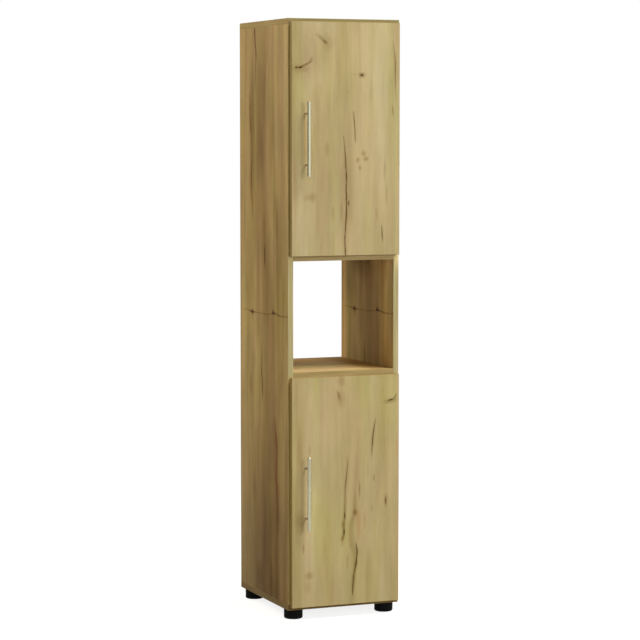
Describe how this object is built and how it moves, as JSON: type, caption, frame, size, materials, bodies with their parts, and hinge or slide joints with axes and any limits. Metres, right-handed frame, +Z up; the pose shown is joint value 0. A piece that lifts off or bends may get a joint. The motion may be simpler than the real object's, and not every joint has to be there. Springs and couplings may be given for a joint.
{
  "type": "tall bathroom cabinet",
  "caption": "Tall narrow free-standing bathroom cabinet in oak decor: hinged doors with bar handles above and below an open niche, on short round feet.",
  "frame": {"origin": "floor level, in the middle of the bounding box in plan (handles included)", "axes": "+Z up, -Y towards the doors' front, +X to the right seen from the front"},
  "size_m": [0.38, 0.488, 1.9],
  "materials": {
    "oak_board": "rustic oak decor on chipboard, satin, with banded edges",
    "oak_door": "rustic oak decor on chipboard, satin",
    "hardboard": "thin hardboard back, matt",
    "handle_steel": "brushed nickel",
    "hinge_steel": "nickel-plated pressed steel",
    "fixing_steel": "zinc-plated",
    "zinc_cast": "die-cast zinc",
    "beech": "fluted beech dowel",
    "foot_plastic": "black moulded plastic",
    "bumper_rubber": "clear soft rubber"
  },
  "bodies": {
    "carcass": {"side_panel_left": "oak_board", "side_panel_right": "oak_board", "top_panel": "oak_board", "bottom_panel": "oak_board", "niche_ceiling_panel": "oak_board", "niche_floor_panel": "oak_board", "back_rail": "oak_board", "upper_shelf_low": "oak_board", "upper_shelf_high": "oak_board", "lower_shelf_low": "oak_board", "lower_shelf_high": "oak_board", "upper_back_panel": "hardboard", "lower_back_panel": "hardboard", "wooden_dowels": "beech", "cam_lock_housings": "zinc_cast", "cam_bolts": "fixing_steel", "shelf_pins": "fixing_steel", "back_panel_nails": "fixing_steel", "foot_screws": "fixing_steel", "foot_front_left": "foot_plastic", "foot_front_right": "foot_plastic", "foot_back_left": "foot_plastic", "foot_back_right": "foot_plastic", "door_bumpers": "bumper_rubber", "upper_hinge_arm_screws": "fixing_steel", "upper_hinge_plate_screws": "fixing_steel", "upper_hinge_arms": "hinge_steel", "upper_hinge_plates": "hinge_steel", "lower_hinge_arm_screws": "fixing_steel", "lower_hinge_plate_screws": "fixing_steel", "lower_hinge_arms": "hinge_steel", "lower_hinge_plates": "hinge_steel"},
    "upper_door": {"upper_door_panel": "oak_door", "upper_handle_bar": "handle_steel", "upper_handle_posts": "handle_steel", "upper_handle_screws": "fixing_steel", "upper_hinge_cups": "hinge_steel", "upper_hinge_pivot_pins": "hinge_steel", "upper_hinge_cup_screws": "fixing_steel"},
    "lower_door": {"lower_door_panel": "oak_door", "lower_handle_bar": "handle_steel", "lower_handle_posts": "handle_steel", "lower_handle_screws": "fixing_steel", "lower_hinge_cups": "hinge_steel", "lower_hinge_pivot_pins": "hinge_steel", "lower_hinge_cup_screws": "fixing_steel"}
  },
  "joints": [
    {"name": "upper_door_hinge", "type": "hinge", "parent": "carcass", "child": "upper_door", "pos_m": [0.1768, -0.1982, 1.5235], "axis": [0, 0, 1], "range_deg": [0, 100]},
    {"name": "lower_door_hinge", "type": "hinge", "parent": "carcass", "child": "lower_door", "pos_m": [0.1768, -0.1982, 0.4085], "axis": [0, 0, 1], "range_deg": [0, 100]}
  ]
}
